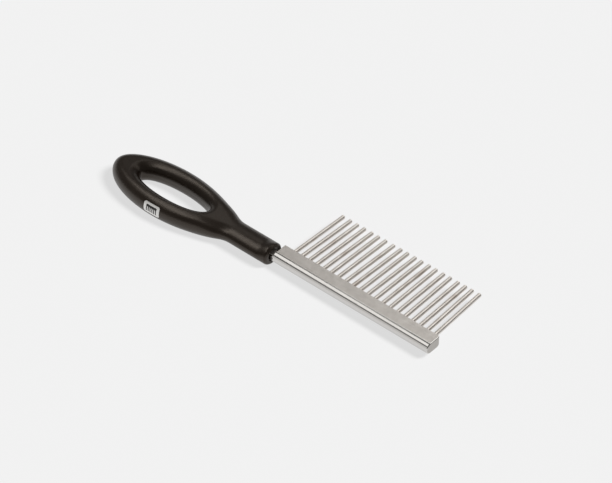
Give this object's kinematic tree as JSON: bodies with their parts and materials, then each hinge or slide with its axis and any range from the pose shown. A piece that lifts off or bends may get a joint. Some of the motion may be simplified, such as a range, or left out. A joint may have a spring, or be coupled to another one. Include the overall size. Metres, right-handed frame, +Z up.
{
  "type": "grooming comb",
  "caption": "Metal mane and coat comb with round steel teeth in a flat spine bar and a soft black handle with a finger loop.",
  "frame": {"origin": "bottom centre of the whole comb's box, with the comb lying flat", "axes": "+X along the comb from the finger loop to the bar's free end, +Y the way the teeth point, +Z up out of the flat"},
  "size_m": [0.2224, 0.066, 0.0131],
  "materials": {
    "bar_steel": "brushed flats, polished round back",
    "tooth_steel": "satin drawn wire",
    "grip_skin": "satin soft-touch black",
    "core_plastic": "moulded black plastic, hidden",
    "badge_metal": "satin silver"
  },
  "bodies": {
    "root": {"spine_bar": "bar_steel", "handle_core": "core_plastic", "handle_grip": "grip_skin", "badge_plate": "badge_metal", "tooth_01": "tooth_steel", "tooth_02": "tooth_steel", "tooth_03": "tooth_steel", "tooth_04": "tooth_steel", "tooth_05": "tooth_steel", "tooth_06": "tooth_steel", "tooth_07": "tooth_steel", "tooth_08": "tooth_steel", "tooth_09": "tooth_steel", "tooth_10": "tooth_steel", "tooth_11": "tooth_steel", "tooth_12": "tooth_steel", "tooth_13": "tooth_steel", "tooth_14": "tooth_steel", "tooth_15": "tooth_steel", "tooth_16": "tooth_steel", "tooth_17": "tooth_steel", "tooth_18": "tooth_steel", "tooth_19": "tooth_steel", "tooth_20": "tooth_steel"}
  },
  "joints": []
}
